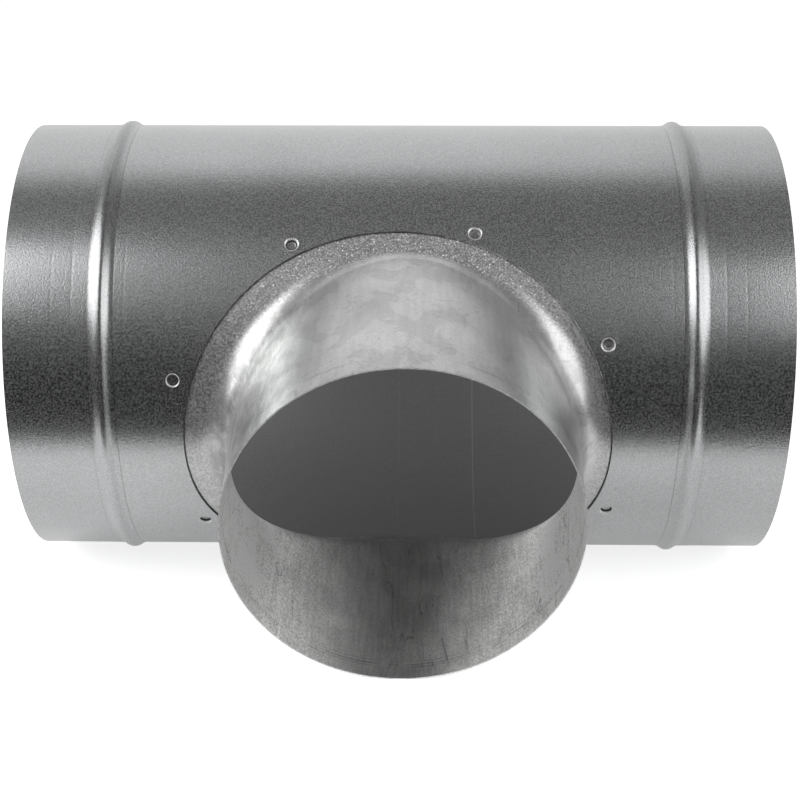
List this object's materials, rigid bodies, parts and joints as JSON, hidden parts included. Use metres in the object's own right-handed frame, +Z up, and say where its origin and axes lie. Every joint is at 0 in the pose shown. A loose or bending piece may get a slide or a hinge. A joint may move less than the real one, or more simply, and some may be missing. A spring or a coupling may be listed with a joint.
{
  "type": "reducing duct tee",
  "caption": "Galvanised sheet-metal reducing duct tee: a straight run with rolled stop beads and a smaller round branch spigot pressed from a saddle.",
  "frame": {"origin": "on the surface that the tee lies on, under the middle of its footprint", "axes": "+X along the straight run, +Z up as the tee lies on its beads and branch rim, branch towards -Y and dipping by about 9.9 degrees"},
  "size_m": [0.336, 0.276, 0.2032],
  "materials": {
    "pipe_zinc": "galvanised sheet with a fine grain, satin, reflecting softly in bands",
    "saddle_zinc": "galvanised sheet with a small spangle on the flange, rubbed smooth and cloudy where the neck was drawn"
  },
  "bodies": {
    "root": {"main_pipe": "pipe_zinc", "branch_saddle": "saddle_zinc"}
  },
  "joints": []
}
